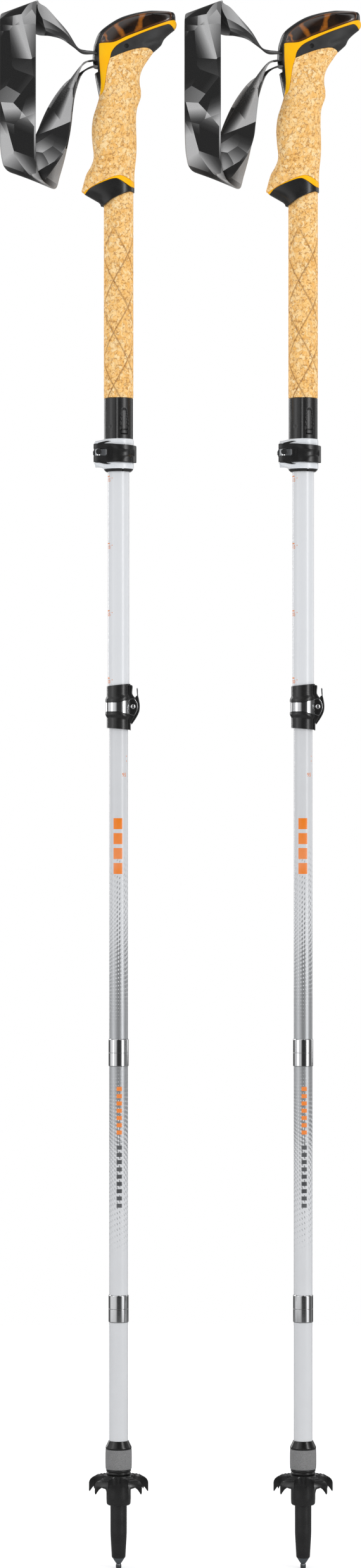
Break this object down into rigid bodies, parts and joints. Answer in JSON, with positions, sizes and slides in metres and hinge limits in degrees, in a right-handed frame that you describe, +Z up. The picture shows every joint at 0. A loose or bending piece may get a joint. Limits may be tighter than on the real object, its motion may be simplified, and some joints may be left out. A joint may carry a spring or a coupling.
{
  "type": "folding trekking poles",
  "caption": "Pair of folding trekking poles with cork grips, wrist straps, lever length clamps, push-button locks, shock-absorbing tips and baskets.",
  "frame": {"origin": "on the ground plane through the tips, under the middle of the pair's box", "axes": "+Z up along both poles, +X from the left pole to the right one and towards the grips' noses, -Y the side the clamp levers wrap round"},
  "size_m": [0.269, 0.0431, 1.1678],
  "materials": {
    "cork": "pressed cork granulate, fine pores, matt",
    "black_plastic": "satin moulded plastic",
    "tortoise_gloss": "polished marbled inlay",
    "yellow_plastic": "satin moulded plastic",
    "white_plastic": "semi-gloss moulded plastic",
    "white_paint": "semi-gloss lacquer on carbon tube, printed",
    "grey_carbon": "carbon fibre tube",
    "bright_steel": "bright stainless steel",
    "chrome_ring": "polished",
    "elastomer": "speckled grey elastomer",
    "webbing": "printed woven webbing",
    "cord": "braided, coated"
  },
  "bodies": {
    "left_handle": {"left_cork_grip": "cork", "left_head_shell": "black_plastic", "left_head_insert": "tortoise_gloss", "left_accent_trim": "yellow_plastic", "left_ledge_collar": "black_plastic", "left_cork_sleeve": "cork", "left_grip_tube": "grey_carbon", "left_clamp_sleeve": "black_plastic", "left_clamp_body": "white_plastic", "left_handle_fasteners": "bright_steel"},
    "left_strap": {"left_wrist_strap": "webbing"},
    "left_lever": {"left_clamp_lever": "black_plastic"},
    "left_nut": {"left_clamp_nut": "bright_steel"},
    "left_scale": {"left_scale_tube": "white_paint", "left_lock_body": "black_plastic", "left_lock_band": "bright_steel", "left_button_rivet": "bright_steel"},
    "left_button": {"left_release_button": "black_plastic"},
    "left_top": {"left_top_section": "white_paint", "left_top_ferrule": "chrome_ring"},
    "left_mid": {"left_mid_section": "white_paint", "left_mid_ferrules": "chrome_ring", "left_tension_cord": "cord"},
    "left_low": {"left_low_section": "white_paint", "left_low_ferrule": "chrome_ring", "left_tip_collar": "black_plastic", "left_damper_ring": "elastomer"},
    "left_tip": {"left_tip_body": "black_plastic", "left_tip_point": "bright_steel"},
    "left_basket": {"left_basket": "black_plastic"},
    "right_handle": {"right_cork_grip": "cork", "right_head_shell": "black_plastic", "right_head_insert": "tortoise_gloss", "right_accent_trim": "yellow_plastic", "right_ledge_collar": "black_plastic", "right_cork_sleeve": "cork", "right_grip_tube": "grey_carbon", "right_clamp_sleeve": "black_plastic", "right_clamp_body": "white_plastic", "right_handle_fasteners": "bright_steel"},
    "right_strap": {"right_wrist_strap": "webbing"},
    "right_lever": {"right_clamp_lever": "black_plastic"},
    "right_nut": {"right_clamp_nut": "bright_steel"},
    "right_scale": {"right_scale_tube": "white_paint", "right_lock_body": "black_plastic", "right_lock_band": "bright_steel", "right_button_rivet": "bright_steel"},
    "right_button": {"right_release_button": "black_plastic"},
    "right_top": {"right_top_section": "white_paint", "right_top_ferrule": "chrome_ring"},
    "right_mid": {"right_mid_section": "white_paint", "right_mid_ferrules": "chrome_ring", "right_tension_cord": "cord"},
    "right_low": {"right_low_section": "white_paint", "right_low_ferrule": "chrome_ring", "right_tip_collar": "black_plastic", "right_damper_ring": "elastomer"},
    "right_tip": {"right_tip_body": "black_plastic", "right_tip_point": "bright_steel"},
    "right_basket": {"right_basket": "black_plastic"}
  },
  "joints": [
    {"name": "left_strap_swing", "type": "hinge", "parent": "left_handle", "child": "left_strap", "pos_m": [-0.0651, 0, 1.124], "axis": [0, 1, 0], "range_deg": [-8, 25]},
    {"name": "left_clamp_lever_turn", "type": "hinge", "parent": "left_handle", "child": "left_lever", "pos_m": [-0.0607, -0.007, 0.8304], "axis": [0, 0, -1], "range_deg": [0, 120]},
    {"name": "left_clamp_nut_turn", "type": "hinge", "parent": "left_handle", "child": "left_nut", "pos_m": [-0.0607, 0.0029, 0.83045], "axis": [0, 1, 0], "continuous": true},
    {"name": "left_length_slide", "type": "slide", "parent": "left_handle", "child": "left_scale", "axis": [0, 0, -1], "range_m": [-0.15, 0.05]},
    {"name": "left_button_press", "type": "hinge", "parent": "left_scale", "child": "left_button", "pos_m": [-0.03525, 0, 0.64065], "axis": [0, -1, 0], "range_deg": [0, 8], "stiffness_Nm_per_rad": 0.03},
    {"name": "left_section_slide", "type": "slide", "parent": "left_scale", "child": "left_top", "axis": [0, 0, 1], "range_m": [0, 0.045]},
    {"name": "left_upper_fold", "type": "hinge", "parent": "left_top", "child": "left_mid", "pos_m": [-0.0461, 0.0088, 0.3839], "axis": [1, 0, 0], "range_deg": [0, 180], "deforming": ["left_tension_cord"]},
    {"name": "left_lower_fold", "type": "hinge", "parent": "left_mid", "child": "left_low", "pos_m": [-0.0461, -0.0088, 0.1934], "axis": [-1, 0, 0], "range_deg": [0, 180], "deforming": ["left_tension_cord"]},
    {"name": "left_tip_damper", "type": "slide", "parent": "left_low", "child": "left_tip", "axis": [0, 0, 1], "range_m": [0, 0.004], "stiffness_N_per_m": 6000, "deforming": ["left_damper_ring"]},
    {"name": "left_basket_off", "type": "slide", "parent": "left_tip", "child": "left_basket", "axis": [0, 0, -1], "range_m": [0, 0.075]},
    {"name": "right_strap_swing", "type": "hinge", "parent": "right_handle", "child": "right_strap", "pos_m": [0.0723, 0, 1.124], "axis": [0, 1, 0], "range_deg": [-8, 25]},
    {"name": "right_clamp_lever_turn", "type": "hinge", "parent": "right_handle", "child": "right_lever", "pos_m": [0.0767, -0.007, 0.8304], "axis": [0, 0, -1], "range_deg": [0, 120]},
    {"name": "right_clamp_nut_turn", "type": "hinge", "parent": "right_handle", "child": "right_nut", "pos_m": [0.0767, 0.0029, 0.83045], "axis": [0, 1, 0], "continuous": true},
    {"name": "right_length_slide", "type": "slide", "parent": "right_handle", "child": "right_scale", "axis": [0, 0, -1], "range_m": [-0.15, 0.05]},
    {"name": "right_button_press", "type": "hinge", "parent": "right_scale", "child": "right_button", "pos_m": [0.10215, 0, 0.64065], "axis": [0, -1, 0], "range_deg": [0, 8], "stiffness_Nm_per_rad": 0.03},
    {"name": "right_section_slide", "type": "slide", "parent": "right_scale", "child": "right_top", "axis": [0, 0, 1], "range_m": [0, 0.045]},
    {"name": "right_upper_fold", "type": "hinge", "parent": "right_top", "child": "right_mid", "pos_m": [0.0913, 0.0088, 0.3839], "axis": [1, 0, 0], "range_deg": [0, 180], "deforming": ["right_tension_cord"]},
    {"name": "right_lower_fold", "type": "hinge", "parent": "right_mid", "child": "right_low", "pos_m": [0.0913, -0.0088, 0.1934], "axis": [-1, 0, 0], "range_deg": [0, 180], "deforming": ["right_tension_cord"]},
    {"name": "right_tip_damper", "type": "slide", "parent": "right_low", "child": "right_tip", "axis": [0, 0, 1], "range_m": [0, 0.004], "stiffness_N_per_m": 6000, "deforming": ["right_damper_ring"]},
    {"name": "right_basket_off", "type": "slide", "parent": "right_tip", "child": "right_basket", "axis": [0, 0, -1], "range_m": [0, 0.075]},
    {"name": "pair_spacing", "type": "slide", "parent": "left_handle", "child": "right_handle", "axis": [1, 0, 0], "range_m": [0, 0.3]}
  ],
  "couplings": [
    {"joint": "left_lower_fold", "follows": "left_upper_fold", "ratio": 1},
    {"joint": "right_lower_fold", "follows": "right_upper_fold", "ratio": 1}
  ]
}
